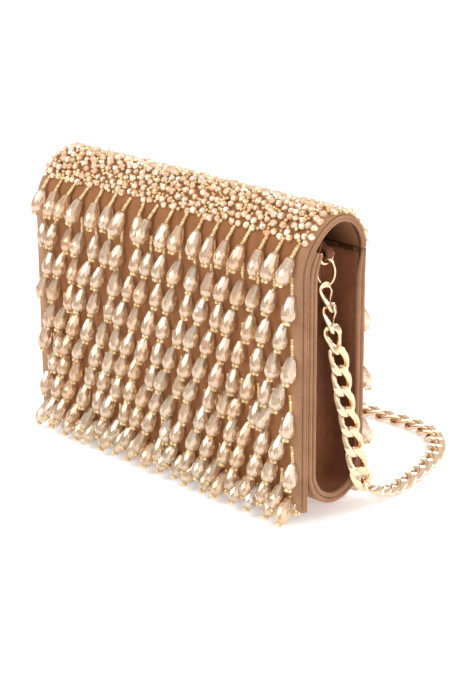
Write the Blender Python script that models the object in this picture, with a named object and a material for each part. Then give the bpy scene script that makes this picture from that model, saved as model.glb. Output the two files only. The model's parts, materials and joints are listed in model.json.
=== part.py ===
"""Evening bag: a flap-over box clutch in suede over boards, with hanging beadwork and a chain strap.

Metres, +Z up. The origin is on the surface that the bag stands on, under its middle.
+X is the bag's right end, -Y is the front that the flap covers, +Y is the back.
"""

import math

import bmesh
import bpy
from mathutils import Vector

# Driving dimensions of the bag
WIDTH = 0.200                 # end to end
HEIGHT = 0.140                # base to the top of the flap
BASE_Z = 0.008                # the base stands this high, on the drops under it
BACK_Y = 0.0200               # outside of the back panel
FRONT_Y = -0.0167             # outside of the front panel, under the flap
FLAP_Y = -0.0200              # outside of the flap's straight front
HINGE_Z = BASE_Z + 0.122      # the crease where the back panel turns into the flap
FRONT_TOP_Z = BASE_Z + 0.112  # top edge of the front panel
GAP = 0.0003                  # between pieces that touch

# Layers of the body wall, as depths below its outside
COVER = (0.0, 0.0010)
BOARD = (0.0013, 0.0033)
LINING = (0.0036, 0.0044)
PIPING_RADIUS = 0.0022

# Layers of the flap
FLAP_COVER = (0.0, 0.0010)
FLAP_BOARD = (0.0013, 0.0021)
FLAP_LINING = (0.0024, 0.0029)
FLAP_EDGE_RADIUS = 0.00145
ARCH_Y = 0.003                # the flap's highest line
ARCH_BACK_RISE = 0.018        # quarter ellipse behind that line
ARCH_FRONT_RISE = 0.025       # quarter superellipse in front of it
ARCH_FRONT_POWER = 1.7
ARCH_STEPS = 9
BASE_STEPS = 12

# Ends: a gusset set back between the panels, and the strap hardware on it
GUSSET_INSET = 0.0135
GUSSET_THICK = 0.0012
GUSSET_TOP_Z = BASE_Z + 0.1290 # the tongue that carries the strap tab
HARDWARE_INSET = 0.0080
HARDWARE_Y = 0.0012
RING_BAR_Z = BASE_Z + 0.1211
RING_DROP = 0.0050
RING_HALF_WIDTH = 0.0045
TAB_DEPTH = 0.0012            # of the tab below and outside its ring's bar
RING_WIRE = 0.0008
LINK_WIRE = 0.00075
LINK_HALF_WIDTH = 0.0041
LINK_LENGTH = 0.0138
LINK_TURN = math.radians(47)
LINK_TOP_Z = RING_BAR_Z - RING_DROP + 0.0026
STRAP_RADIUS = 0.0030
MAGNET_RADIUS = 0.0080
MAGNET_Z = BASE_Z + 0.045

# Beadwork
STRAND_PITCH = 0.0109
STRANDS = 18                  # in a wide row; a narrow row has one fewer
STRAND_LENGTH = 0.0225
LOWER_PITCH = 0.0125          # between the six lowest tiers
UPPER_PITCH = 0.0148          # between the tiers above them
LOWER_GAPS = 5
FRONT_TIERS = 10
BACK_TIERS = 9
LOWEST_TIER_Z = BASE_Z + 0.0077
TIER_THICK = 0.0024
BAND_HEIGHT = 0.0016
TIER_LEAN = math.radians(14.5)
FLOOR_CLEARANCE = 0.0003      # under the tips of the lowest tiers
ARCH_LEAN = math.radians(40)
TIER_STANDOFF = 0.0016        # from the panel's outside to a tier's middle plane, at its band
BASE_FRINGE_ANGLE = math.radians(33)
BEAD_LAYER = (0.0003, 0.0040)
BEAD_FIELD_START = 0.30       # shares of the back and the front of the arch
BEAD_FIELD_END = 0.52
ARCH_TIER_SHARE = 0.58        # where the first tier hangs


def clear_scene():
    for obj in list(bpy.data.objects):
        bpy.data.objects.remove(obj, do_unlink=True)


def make_collection(name):
    collection = bpy.data.collections.new(name)
    bpy.context.scene.collection.children.link(collection)
    return collection


clear_scene()
BAG = make_collection("evening_bag")
CUTTERS = make_collection("cutters")


def material(name, color, roughness, metallic=0.0):
    mat = bpy.data.materials.new(name)
    mat.use_nodes = True
    shader = mat.node_tree.nodes["Principled BSDF"]
    shader.inputs["Base Color"].default_value = (*color, 1.0)
    shader.inputs["Roughness"].default_value = roughness
    shader.inputs["Metallic"].default_value = metallic
    return mat


SUEDE = material("tan_suede", (0.50, 0.28, 0.15), 0.95)
DARK_SUEDE = material("gusset_suede", (0.22, 0.10, 0.055), 0.95)
FLAP_SUEDE = material("flap_suede", (0.52, 0.30, 0.16), 0.95)
LINING_CLOTH = material("lining_cloth", (0.45, 0.30, 0.20), 0.80)
FLAP_CLOTH = material("flap_lining_cloth", (0.42, 0.27, 0.18), 0.80)
POCKET_CLOTH = material("pocket_cloth", (0.47, 0.32, 0.21), 0.80)
CARD = material("card_board", (0.55, 0.48, 0.38), 0.90)
EDGE_SUEDE = material("edge_piping", (0.40, 0.22, 0.12), 0.90)
TAB_SUEDE = material("tab_suede", (0.25, 0.12, 0.07), 0.90)
ROSE_GOLD = material("rose_gold", (0.85, 0.60, 0.40), 0.22, 1.0)
RING_GOLD = material("ring_gold", (0.88, 0.66, 0.45), 0.20, 1.0)
STEEL = material("magnet_steel", (0.60, 0.60, 0.60), 0.35, 1.0)
CRYSTAL = material("champagne_crystal", (0.86, 0.70, 0.50), 0.10)
CHAMPAGNE = material("bead_field_crystal", (0.85, 0.62, 0.42), 0.15)


def make_pivot(name, location):
    """An empty on a joint's axis, for the pieces that turn about it."""
    pivot = bpy.data.objects.new(name, None)
    pivot.location = location
    BAG.objects.link(pivot)
    return pivot


def place(obj, mat, pivot=None):
    """Put a piece in the bag, and under the pivot that it turns with."""
    obj.data.materials.clear()
    obj.data.materials.append(mat)
    BAG.objects.link(obj)
    if pivot:
        obj.parent = pivot
        obj.location -= pivot.location
    return obj


def make_cutter(obj):
    CUTTERS.objects.link(obj)
    obj.hide_render = True
    obj.display_type = "WIRE"
    return obj


def box_object(name, low, high):
    """A box between two corners, with its origin in its middle."""
    mesh = bpy.data.meshes.new(name)
    bm = bmesh.new()
    bmesh.ops.create_cube(bm, size=1.0)
    size = Vector(high) - Vector(low)
    bmesh.ops.scale(bm, vec=size, verts=bm.verts)
    bm.to_mesh(mesh)
    bm.free()
    obj = bpy.data.objects.new(name, mesh)
    obj.location = (Vector(low) + Vector(high)) / 2
    return obj


def flat_outline(name, loops, thickness, location, rotation):
    """A flat outline, with a loop for each hole, as a plate centred on its plane."""
    curve = bpy.data.curves.new(name, "CURVE")
    curve.dimensions = "2D"
    curve.fill_mode = "BOTH"
    curve.extrude = thickness / 2
    for points in loops:
        spline = curve.splines.new("POLY")
        spline.points.add(len(points) - 1)
        for point, (u, v) in zip(spline.points, points):
            point.co = (u, v, 0.0, 1.0)
        spline.use_cyclic_u = True
    obj = bpy.data.objects.new(name, curve)
    obj.location = location
    obj.rotation_euler = rotation
    return obj


def profile_prism(name, points, x_low, x_high):
    """An outline in the YZ plane, run along X."""
    middle = ((x_low + x_high) / 2, 0, 0)
    turned = (math.pi / 2, 0, math.pi / 2)
    return flat_outline(name, [points], x_high - x_low, middle, turned)


def as_mesh(obj):
    """The mesh object that a curve object makes, welded, for cutting and joining."""
    bpy.context.scene.collection.objects.link(obj)
    graph = bpy.context.evaluated_depsgraph_get()
    mesh = bpy.data.meshes.new_from_object(obj.evaluated_get(graph))
    bm = bmesh.new()
    bm.from_mesh(mesh)
    bmesh.ops.remove_doubles(bm, verts=bm.verts, dist=1e-6)
    bm.to_mesh(mesh)
    bm.free()
    solid = bpy.data.objects.new(obj.name + "_mesh", mesh)
    solid.matrix_world = obj.matrix_world.copy()
    name = obj.name
    bpy.data.objects.remove(obj, do_unlink=True)
    solid.name = name
    return solid


def combine(obj, other, operation):
    """Keep a Boolean of one mesh object with another, which becomes a cutter."""
    make_cutter(other)
    modifier = obj.modifiers.new(operation.lower(), "BOOLEAN")
    modifier.operation = operation
    modifier.object = other
    return obj


def wire(name, points, radius, cyclic=False, resolution=2):
    """A round wire or tube along points."""
    curve = bpy.data.curves.new(name, "CURVE")
    curve.dimensions = "3D"
    curve.bevel_depth = radius
    curve.bevel_resolution = resolution
    curve.use_fill_caps = True
    spline = curve.splines.new("POLY")
    spline.points.add(len(points) - 1)
    for point, place_at in zip(spline.points, points):
        point.co = (*place_at, 1.0)
    spline.use_cyclic_u = cyclic
    return bpy.data.objects.new(name, curve)


def body_path(depth, front_top, back_top):
    """The body wall's section at a depth below its outside, front top to back top."""
    middle_y = (BACK_Y + FRONT_Y) / 2
    outer = (BACK_Y - FRONT_Y) / 2
    radius = outer - depth
    points = [(FRONT_Y + depth, front_top)]
    for step in range(BASE_STEPS + 1):
        angle = math.pi + math.pi * step / BASE_STEPS
        y = middle_y + radius * math.cos(angle)
        points.append((y, BASE_Z + outer + radius * math.sin(angle)))
    points.append((BACK_Y - depth, back_top))
    return points


def body_layer(name, layer, inset, front_top, back_top):
    """A wall layer: front, round base and back in one piece."""
    outside = body_path(layer[0], front_top, back_top)
    inside = body_path(layer[1], front_top, back_top)
    half = WIDTH / 2 - inset
    return profile_prism(name, outside + inside[::-1], -half, half)


def arch_point(share):
    """A point on the outside of the flap's arch: share -1 at the hinge, 0 on top, 1 at its front."""
    angle = abs(share) * math.pi / 2
    if share < 0:
        y = ARCH_Y + (BACK_Y - ARCH_Y) * math.sin(angle)
        return Vector((y, HINGE_Z + ARCH_BACK_RISE * math.cos(angle)))
    power = 2 / ARCH_FRONT_POWER
    y = ARCH_Y - (ARCH_Y - FLAP_Y) * math.sin(angle) ** power
    top = BASE_Z + HEIGHT
    z = top - ARCH_FRONT_RISE + ARCH_FRONT_RISE * math.cos(angle) ** power
    return Vector((y, z))


def arch_outward(share):
    """The outward direction of the arch at a share of it."""
    step = 0.01
    start = arch_point(max(share - step, -1.0))
    end = arch_point(min(share + step, 1.0))
    along = (end - start).normalized()
    return Vector((along.y, -along.x))


def arch_run(depth, start=-1.0, end=1.0):
    """Points along the arch at a depth below its outside."""
    points = []
    steps = max(3, round(ARCH_STEPS * (end - start)))
    for step in range(steps + 1):
        share = start + (end - start) * step / steps
        point = arch_point(share) - arch_outward(share) * depth
        points.append((point.x, point.y))
    return points


def flap_path(depth, bottom):
    """The flap's section at a depth below its outside, from the hinge over and down."""
    points = arch_run(depth)
    points[0] = (BACK_Y - depth, HINGE_Z + GAP)
    points[-1] = (FLAP_Y + depth, points[-1][1])
    return points + [(FLAP_Y + depth, bottom)]


def flap_layer(name, layer, inset, bottom):
    """A flap layer: arch and straight front in one piece."""
    outside = flap_path(layer[0], bottom)
    inside = flap_path(layer[1], bottom)
    half = WIDTH / 2 - inset
    return profile_prism(name, outside + inside[::-1], -half, half)


def circle(radius, centre, steps=24):
    points = []
    for step in range(steps):
        angle = 2 * math.pi * step / steps
        points.append((centre[0] + radius * math.cos(angle), centre[1] + radius * math.sin(angle)))
    return points


def upright_board(name, x_half, z_low, z_high, y_middle, thickness, hole=None):
    """A flat board in the XZ plane, with an optional round hole."""
    loops = [[(-x_half, z_low), (x_half, z_low), (x_half, z_high), (-x_half, z_high)]]
    if hole:
        loops.append(circle(*hole))
    return flat_outline(name, loops, thickness, (0, y_middle, 0), (math.pi / 2, 0, 0))


def disc(name, radius, thickness, centre):
    """A round disc that faces along Y."""
    mesh = bpy.data.meshes.new(name)
    bm = bmesh.new()
    bmesh.ops.create_cone(bm, cap_ends=True, segments=24, radius1=radius, radius2=radius,
                          depth=thickness)
    bm.to_mesh(mesh)
    bm.free()
    mesh.shade_smooth()
    mesh.set_sharp_from_angle(angle=math.radians(40))
    obj = bpy.data.objects.new(name, mesh)
    obj.location = centre
    obj.rotation_euler = (math.pi / 2, 0, 0)
    return obj


def build_walls():
    """The cover, boards and lining of the body."""
    inset = 2 * PIPING_RADIUS + GAP
    cover = body_layer("body_cover", COVER, inset, FRONT_TOP_Z, HINGE_Z - GAP)
    place(cover, SUEDE)
    lining_inset = GUSSET_INSET + GUSSET_THICK + GAP
    lining = body_layer("body_lining", LINING, lining_inset, FRONT_TOP_Z, HINGE_Z - GAP)
    place(lining, LINING_CLOTH)

    board_half = WIDTH / 2 - inset - 0.001
    board_low = BASE_Z + (BACK_Y - FRONT_Y) / 2 + 0.001
    thick = BOARD[1] - BOARD[0]
    depth = (BOARD[0] + BOARD[1]) / 2
    hole = (MAGNET_RADIUS + GAP, (0, MAGNET_Z))
    front = upright_board("front_board", board_half, board_low, FRONT_TOP_Z - 0.001,
                          FRONT_Y + depth, thick, hole)
    place(front, CARD)
    back = upright_board("back_board", board_half, board_low, HINGE_Z - 0.003,
                         BACK_Y - depth, thick)
    place(back, CARD)
    outside = body_path(BOARD[0], board_low, board_low)[2:-2]
    inside = body_path(BOARD[1], board_low, board_low)[2:-2]
    base = profile_prism("base_board", outside + inside[::-1], -board_half, board_half)
    place(base, CARD)
    magnet = disc("front_magnet", MAGNET_RADIUS, thick, (0, FRONT_Y + depth, MAGNET_Z))
    place(magnet, STEEL)


def build_pocket():
    """A slip pocket: a cloth panel sewn to the back lining along three sides."""
    half = 0.060
    low_z = BASE_Z + 0.038
    high_z = BASE_Z + 0.098
    outer_y = BACK_Y - LINING[1] - GAP
    pocket = box_object("slip_pocket", (-half, outer_y - 0.0024, low_z), (half, outer_y, high_z))
    cut = box_object("pocket_space", (-half + 0.002, outer_y - 0.0016, low_z + 0.002),
                     (half - 0.002, outer_y + 0.001, high_z + 0.001))
    combine(pocket, cut, "DIFFERENCE")
    place(pocket, POCKET_CLOTH)


def build_gusset(side, name):
    """An end panel set back between the walls, with a rim that runs out to their edges."""
    far = WIDTH / 2 - GUSSET_INSET
    plate_path = body_path(LINING[1] - 0.0003, FRONT_TOP_Z + 0.008, FRONT_TOP_Z + 0.012)
    plate_path += [(HARDWARE_Y + 0.0065, GUSSET_TOP_Z), (HARDWARE_Y - 0.0065, GUSSET_TOP_Z)]
    plate = profile_prism(name, plate_path, far - GUSSET_THICK, far)
    outside = body_path(LINING[0], FRONT_TOP_Z, HINGE_Z - 0.003)
    inside = body_path(LINING[1], FRONT_TOP_Z, HINGE_Z - 0.003)
    rim_end = WIDTH / 2 - 2 * PIPING_RADIUS - GAP
    rim = profile_prism(name + "_rim", outside + inside[::-1], far - GUSSET_THICK, rim_end)
    gusset = as_mesh(plate)
    combine(gusset, as_mesh(rim), "UNION")
    if side < 0:
        gusset.location.x = -gusset.location.x
        gusset.modifiers["union"].object.location.x *= -1
    place(gusset, DARK_SUEDE)


def build_piping(side, name):
    """The rolled edge that follows a wall's end: front, base and back."""
    path = body_path(PIPING_RADIUS, FRONT_TOP_Z, HINGE_Z - GAP)
    x = side * (WIDTH / 2 - PIPING_RADIUS)
    place(wire(name, [(x, y, z) for y, z in path], PIPING_RADIUS), EDGE_SUEDE)


def build_strap_tab(side, name):
    """A folded tab at the top of the gusset, with the ring's bar through it."""
    inner = WIDTH / 2 - GUSSET_INSET + GAP
    outer = WIDTH / 2 - HARDWARE_INSET + TAB_DEPTH
    low = (min(side * inner, side * outer), HARDWARE_Y - 0.0030, RING_BAR_Z - TAB_DEPTH)
    high = (max(side * inner, side * outer), HARDWARE_Y + 0.0030, RING_BAR_Z + 0.0060)
    tab = box_object(name, low, high)
    mesh = bpy.data.meshes.new(name + "_bore")
    bm = bmesh.new()
    bmesh.ops.create_cone(bm, cap_ends=True, segments=16, radius1=RING_WIRE + GAP,
                          radius2=RING_WIRE + GAP, depth=0.02)
    bm.to_mesh(mesh)
    bm.free()
    bore = bpy.data.objects.new(name + "_bore", mesh)
    bore.location = (side * (WIDTH / 2 - HARDWARE_INSET), HARDWARE_Y, RING_BAR_Z)
    bore.rotation_euler = (math.pi / 2, 0, 0)
    combine(tab, bore, "DIFFERENCE")
    place(tab, TAB_SUEDE)


def build_d_ring(side, name):
    """A D-shaped ring whose origin is on its bar, the axis that it swings on."""
    points = [(0, -RING_HALF_WIDTH, 0), (0, RING_HALF_WIDTH, 0)]
    steps = 10
    for step in range(1, steps):
        angle = math.pi * step / steps
        points.append((0, RING_HALF_WIDTH * math.cos(angle), -RING_DROP * math.sin(angle)))
    ring = wire(name, points, RING_WIRE, cyclic=True)
    ring.location = (side * (WIDTH / 2 - HARDWARE_INSET), HARDWARE_Y, RING_BAR_Z)
    place(ring, RING_GOLD)


def build_connector(side, name):
    """The oval ring that joins the strap's end link to the D-ring."""
    end = LINK_HALF_WIDTH
    points = []
    steps = 8
    for turn, middle in ((0, -end), (math.pi, end - LINK_LENGTH)):
        for step in range(steps + 1):
            angle = turn + math.pi * step / steps
            points.append((end * math.cos(angle), 0, middle + end * math.sin(angle)))
    ring = wire(name, points, LINK_WIRE, cyclic=True)
    ring.location = (side * (WIDTH / 2 - HARDWARE_INSET), HARDWARE_Y, LINK_TOP_Z)
    ring.rotation_euler = (0, 0, side * LINK_TURN)
    place(ring, ROSE_GOLD)


def strap_drop(side):
    """The strap's hang from its connector, down the gusset and round the back edge to the floor."""
    half = WIDTH / 2
    start_z = LINK_TOP_Z - LINK_LENGTH - LINK_WIRE - GAP
    points = [
        (half - 0.0080, HARDWARE_Y, start_z),
        (half - 0.0064, 0.0022, 0.1040),
        (half - 0.0055, 0.0026, 0.0940),
        (half - 0.0033, 0.0042, 0.0830),
        (half - 0.0017, 0.0052, 0.0720),
        (half - 0.0004, 0.0056, 0.0610),
        (half + 0.0018, 0.0070, 0.0500),
        (half + 0.0037, 0.0083, 0.0390),
        (half + 0.0053, 0.0097, 0.0280),
        (half + 0.0059, 0.0122, 0.0192),
        (half + 0.0053, 0.0182, 0.0124),
        (half + 0.0032, 0.0275, 0.0076),
        (half + 0.0004, 0.0370, 0.0046),
    ]
    return [Vector((side * x, y, z)) for x, y, z in points]


STRAP_FLOOR = [
    (0.0974, 0.0460), (0.0950, 0.0575), (0.0912, 0.0705), (0.0863, 0.0835),
    (0.0795, 0.0960), (0.0710, 0.1068), (0.0605, 0.1142), (0.0490, 0.1174),
    (0.0370, 0.1172), (0.0250, 0.1160), (0.0110, 0.1158), (-0.0080, 0.1163),
    (-0.0280, 0.1168), (-0.0500, 0.1170), (-0.0700, 0.1170), (-0.0880, 0.1170),
    (-0.1007, 0.1117), (-0.1060, 0.0990), (-0.1007, 0.0863), (-0.0880, 0.0810),
    (-0.0690, 0.0810), (-0.0450, 0.0810), (-0.0210, 0.0810), (0.0030, 0.0810),
    (0.0280, 0.0810), (0.0407, 0.0757), (0.0460, 0.0630), (0.0407, 0.0503),
    (0.0280, 0.0450), (0.0050, 0.0450), (-0.0200, 0.0450), (-0.0450, 0.0450),
    (-0.0680, 0.0462), (-0.0870, 0.0475),
]


def smooth_route(points, spacing):
    """Evenly spaced points on one smooth curve through the route."""
    fine = []
    padded = [points[0] * 2 - points[1]] + points + [points[-1] * 2 - points[-2]]
    for a, b, c, d in zip(padded, padded[1:], padded[2:], padded[3:]):
        for step in range(8):
            t = step / 8
            fine.append(0.5 * ((2 * b) + (c - a) * t + (2 * a - 5 * b + 4 * c - d) * t ** 2
                               + (3 * b - a - 3 * c + d) * t ** 3))
    fine.append(points[-1])
    total = sum((q - p).length for p, q in zip(fine, fine[1:]))
    count = round(total / spacing)
    even = [fine[0]]
    walked = 0.0
    for p, q in zip(fine, fine[1:]):
        length = (q - p).length
        while len(even) < count and walked + length >= len(even) * total / count:
            even.append(p.lerp(q, (len(even) * total / count - walked) / length))
        walked += length
    return even + [fine[-1]]


def build_strap():
    """The chain strap: from one connector, along the floor behind the bag, to the other."""
    floor_z = STRAP_RADIUS + 0.0002
    laid = [Vector((x, y, floor_z)) for x, y in STRAP_FLOOR]
    route = strap_drop(1) + laid + strap_drop(-1)[::-1]
    tube = wire("chain_strap", smooth_route(route, 0.0150), STRAP_RADIUS)
    place(tube, ROSE_GOLD)


def build_flap():
    """The flap's cover, board, lining, magnet and rolled side edges."""
    edge_inset = 2 * FLAP_EDGE_RADIUS + GAP
    bottom = BASE_Z + 0.0005
    place(flap_layer("flap_cover", FLAP_COVER, edge_inset, bottom), FLAP_SUEDE, FLAP_PIVOT)
    place(flap_layer("flap_lining", FLAP_LINING, edge_inset, bottom), FLAP_CLOTH, FLAP_PIVOT)
    depth = (FLAP_BOARD[0] + FLAP_BOARD[1]) / 2
    thick = FLAP_BOARD[1] - FLAP_BOARD[0]
    hole = (MAGNET_RADIUS + GAP, (0, MAGNET_Z))
    board_top = BASE_Z + HEIGHT - ARCH_FRONT_RISE - 0.001
    board = upright_board("flap_board", WIDTH / 2 - edge_inset - 0.001, bottom + 0.002, board_top,
                          FLAP_Y + depth, thick, hole)
    place(board, CARD, FLAP_PIVOT)
    magnet = disc("flap_magnet", MAGNET_RADIUS, thick, (0, FLAP_Y + depth, MAGNET_Z))
    place(magnet, STEEL, FLAP_PIVOT)
    path = flap_path(FLAP_EDGE_RADIUS, bottom)
    for side, name in ((1, "flap_edge_right"), (-1, "flap_edge_left")):
        x = side * (WIDTH / 2 - FLAP_EDGE_RADIUS)
        edge = wire(name, [(x, y, z) for y, z in path], FLAP_EDGE_RADIUS)
        place(edge, EDGE_SUEDE, FLAP_PIVOT)


def build_bead_field():
    """The close-set crystals over the flap's arch, as one layer on the cover."""
    start = -1.0 + BEAD_FIELD_START
    outside = arch_run(-BEAD_LAYER[1], start, BEAD_FIELD_END)
    inside = arch_run(-BEAD_LAYER[0], start, BEAD_FIELD_END)
    half = WIDTH / 2 - 0.001
    field = profile_prism("bead_field", outside + inside[::-1], -half, half)
    place(field, CHAMPAGNE, FLAP_PIVOT)


def strand_comb(count):
    """A thread band with strands below it, each narrow at its seeds and wide at its drop."""
    half = (count - 1) * STRAND_PITCH / 2
    neck = 0.0010
    drop = 0.0032
    points = [(half + neck, 0.0), (-half - neck, 0.0)]
    for index in range(count):
        x = -half + index * STRAND_PITCH
        points.append((x - neck, -BAND_HEIGHT))
        points.append((x - drop, -STRAND_LENGTH))
        points.append((x + drop, -STRAND_LENGTH))
        points.append((x + neck, -BAND_HEIGHT))
    return points


def tier(name, count, y, z, lean):
    """A row of strands hung at (y, z), with its origin on its band, the axis that it swings on.

    It leans away from upright by lean, positive towards the back.
    """
    return flat_outline(name, [strand_comb(count)], TIER_THICK, (0, y, z),
                        (math.pi / 2 + lean, 0, 0))


def floor_lean(hung_z, clearance):
    """The lean at which a tier's lowest corner clears the floor by a given amount."""
    half = TIER_THICK / 2
    reach = math.hypot(STRAND_LENGTH, half)
    return math.atan2(half, STRAND_LENGTH) + math.acos((hung_z - clearance) / reach)


def tier_lean(from_bottom):
    """The lowest tier is splayed by the floor, and each one above it by half as much."""
    lowest = floor_lean(LOWEST_TIER_Z, FLOOR_CLEARANCE)
    return TIER_LEAN + (lowest - TIER_LEAN) * 0.5 ** from_bottom


def tier_z(from_bottom):
    """The height that a tier is hung at, counted up from the lowest."""
    lower = min(from_bottom, LOWER_GAPS)
    return LOWEST_TIER_Z + lower * LOWER_PITCH + (from_bottom - lower) * UPPER_PITCH


def build_front_fringe():
    """The flap's tiers: the first hangs from the front of the arch, the others from the flat front."""
    hung = arch_point(ARCH_TIER_SHARE) + arch_outward(ARCH_TIER_SHARE) * TIER_STANDOFF
    first = tier("front_fringe_01", STRANDS, hung.x, hung.y, -ARCH_LEAN)
    place(first, CRYSTAL, FLAP_PIVOT)
    for index in range(1, FRONT_TIERS):
        from_bottom = FRONT_TIERS - 1 - index
        row = tier(f"front_fringe_{index + 1:02d}", STRANDS - from_bottom % 2,
                   FLAP_Y - TIER_STANDOFF, tier_z(from_bottom), -tier_lean(from_bottom))
        place(row, CRYSTAL, FLAP_PIVOT)


def build_back_fringe():
    """The back panel's tiers."""
    for index in range(BACK_TIERS):
        from_bottom = BACK_TIERS - 1 - index
        row = tier(f"back_fringe_{index + 1:02d}", STRANDS - (from_bottom + 1) % 2,
                   BACK_Y + TIER_STANDOFF, tier_z(from_bottom), tier_lean(from_bottom))
        place(row, CRYSTAL)


def trim_below_floor(obj):
    """Cut a mesh object off flat at z = 0."""
    to_local = obj.matrix_world.inverted()
    origin = to_local @ Vector((0, 0, 0))
    down = (to_local @ Vector((0, 0, -1)) - origin).normalized()
    bm = bmesh.new()
    bm.from_mesh(obj.data)
    everything = bm.verts[:] + bm.edges[:] + bm.faces[:]
    bmesh.ops.bisect_plane(bm, geom=everything, plane_co=origin, plane_no=down, clear_outer=True)
    bmesh.ops.holes_fill(bm, edges=[edge for edge in bm.edges if edge.is_boundary], sides=0)
    bm.to_mesh(obj.data)
    bm.free()


def build_base_fringe():
    """Two rows under the round base, splayed along the floor, whose trimmed tips the bag stands on."""
    middle_y = (BACK_Y + FRONT_Y) / 2
    radius = (BACK_Y - FRONT_Y) / 2
    reach = radius + TIER_STANDOFF
    z = BASE_Z + radius - reach * math.cos(BASE_FRINGE_ANGLE)
    lean = math.acos(z / STRAND_LENGTH)
    for side, name in ((-1, "base_fringe_front"), (1, "base_fringe_back")):
        y = middle_y + side * reach * math.sin(BASE_FRINGE_ANGLE)
        row = as_mesh(tier(name, STRANDS - 1, y, z, side * lean))
        trim_below_floor(row)
        place(row, CRYSTAL)


FLAP_PIVOT = make_pivot("flap_hinge", (0, BACK_Y, HINGE_Z))
build_walls()
build_pocket()
for SIDE, END in ((1, "right"), (-1, "left")):
    build_gusset(SIDE, "gusset_" + END)
    build_piping(SIDE, "edge_piping_" + END)
    build_strap_tab(SIDE, "strap_tab_" + END)
    build_d_ring(SIDE, "d_ring_" + END)
    build_connector(SIDE, "connector_ring_" + END)
build_strap()
build_flap()
build_bead_field()
build_front_fringe()
build_back_fringe()
build_base_fringe()
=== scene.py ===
"""Evening bag: the looks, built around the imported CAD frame.

Metres, +Z up, in the frame's own coordinates: -Y is the flap's front, +X the bag's right end.
"""

import json
import math
import random

import bmesh
import bpy
import numpy as np
from mathutils import Matrix, Vector, noise


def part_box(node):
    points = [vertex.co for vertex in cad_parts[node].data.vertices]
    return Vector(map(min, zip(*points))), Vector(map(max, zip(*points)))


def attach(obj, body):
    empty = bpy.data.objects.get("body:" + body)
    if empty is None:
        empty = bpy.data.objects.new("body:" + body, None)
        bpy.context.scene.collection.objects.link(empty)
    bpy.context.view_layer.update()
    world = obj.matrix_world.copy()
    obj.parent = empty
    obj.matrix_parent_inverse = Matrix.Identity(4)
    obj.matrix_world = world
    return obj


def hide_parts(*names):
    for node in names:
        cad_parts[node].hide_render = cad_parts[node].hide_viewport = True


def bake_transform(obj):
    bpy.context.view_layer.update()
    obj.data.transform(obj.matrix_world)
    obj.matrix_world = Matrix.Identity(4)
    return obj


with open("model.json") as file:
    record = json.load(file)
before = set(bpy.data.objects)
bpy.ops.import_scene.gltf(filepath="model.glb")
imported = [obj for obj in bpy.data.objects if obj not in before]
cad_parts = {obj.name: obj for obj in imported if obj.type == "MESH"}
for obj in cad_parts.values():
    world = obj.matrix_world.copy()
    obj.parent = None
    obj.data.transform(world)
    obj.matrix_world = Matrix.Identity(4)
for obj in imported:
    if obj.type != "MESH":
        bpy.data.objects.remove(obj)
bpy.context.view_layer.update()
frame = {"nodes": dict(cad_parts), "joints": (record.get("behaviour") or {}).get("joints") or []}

# Places read from the frame
COVER_LOW, COVER_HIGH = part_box("body_cover")
FLAP_LOW, FLAP_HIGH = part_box("flap_cover")
PIPING_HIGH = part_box("edge_piping_right")[1]
GUSSET_LOW, GUSSET_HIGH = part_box("gusset_right")
JOINTS = {joint["name"]: joint for joint in frame["joints"]}
HALF_WIDTH = PIPING_HIGH.x
BASE_Z = COVER_LOW.z
BACK_Y = COVER_HIGH.y
FRONT_Y = COVER_LOW.y
FLAP_Y = FLAP_LOW.y
TOP_Z = FLAP_HIGH.z
HINGE_Z = JOINTS["flap_hinge"]["pos_m"][2]
FRONT_TOP_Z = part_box("front_board")[1].z + 0.001
BODY_RADIUS = (BACK_Y - FRONT_Y) / 2
BODY_MIDDLE_Y = (BACK_Y + FRONT_Y) / 2
FLAP_BOTTOM_Z = FLAP_LOW.z

# The flap's arch
ARCH_Y = 0.003
ARCH_BACK_RISE = TOP_Z - HINGE_Z
ARCH_FRONT_RISE = 0.025
ARCH_FRONT_POWER = 1.7
BASE_STEPS = 32
ARCH_STEPS = 128
FRONT_STEPS = 60
FLAP_LINE_END_Z = -0.02    # the flap's measured line runs on below its edge

# Suede
COVER_THICK = 0.001
HINGE_GAP = 0.0013         # from the hinge to the end of each cover, under the crease
EDGE_GAP = 0.0003          # from the hinge down to the end of the body's rolled edges
SHEET_WAVE = 0.00012       # unevenness of a cover
CREASE_REACH = 0.006
CREASE_LIFT = 0.00025
ROLL_SLIMMING = 0.42
STITCH_STEP = 0.0026
STITCH_INSET = 0.0056
GUSSET_RIM_INSET = 0.0024
GUSSET_THICK = 0.0012
GUSSET_CLEARANCE = 0.0002
GUSSET_SAG = 0.0011
GUSSET_SAG_WIDTH = 0.004
GUSSET_TOP_RISE = 0.0035
LIP = [(0.0042, 0.0136), (0.0028, 0.0110), (0.0015, 0.0080), (0.0005, 0.0045)]

# Beadwork
STRAND_PITCH = 0.0109
WIDE_ROW = 18
SEED_RADIUS = 0.0010
SEED_STEP = 0.00142
SEEDS = 6
DROP_LENGTH = 0.0125
DROP_RADIUS = 0.0037
CRYSTAL_RADIUS = 0.0019
ARCH_ROW_SHARE = 0.59
CORNER_SHIFT = 0.0042      # of the end threads of a wide row on the back, towards the edge
BASE_ROW_ANGLE = math.radians(30)
FIELD_START_SHARE = -0.93
LOW_ROW_LEANS = (0.30, 0.10, 0.04)    # of the three lowest rows, from the bottom

# Chain
LINK_PITCH = 0.0101
LINK_LENGTH = 0.0162
LINK_WIDTH = 0.0102
LINK_SLANT = math.radians(6)
LINK_WIRE_WIDTH = 0.0033
LINK_WIRE_THICK = 0.0020
LINK_LIFT = 0.0017
LINK_FLAT = 0.0021
CHAIN_FLOOR_Z = 0.0024
CONNECTOR_TURN = math.radians(47)
LYING_Z = 0.005            # links whose middle is below this lie flat


# ---------------------------------------------------------------- materials

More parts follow.
